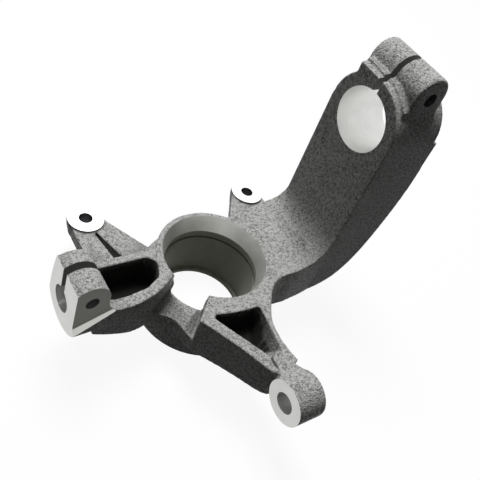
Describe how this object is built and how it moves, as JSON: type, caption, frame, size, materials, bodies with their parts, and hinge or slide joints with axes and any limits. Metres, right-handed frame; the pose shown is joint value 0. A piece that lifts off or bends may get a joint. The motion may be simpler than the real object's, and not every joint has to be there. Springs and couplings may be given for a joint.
{
  "type": "steering knuckle",
  "caption": "Cast steering knuckle with a bored hub, a split strut clamp on a bent arm, a split ball joint clamp, a steering arm with an eye and two caliper ears.",
  "frame": {"origin": "centre of the wheel bearing's seat, on the wheel axis", "axes": "+Z along the wheel axis, inboard; +X towards the strut clamp, which is up on the car; +Y towards the brake caliper ears"},
  "size_m": [0.2611, 0.2338, 0.2222],
  "materials": {
    "cast_iron": "black-coated sand casting with bare machined seats"
  },
  "bodies": {
    "root": {"steering_knuckle": "cast_iron"}
  },
  "joints": []
}
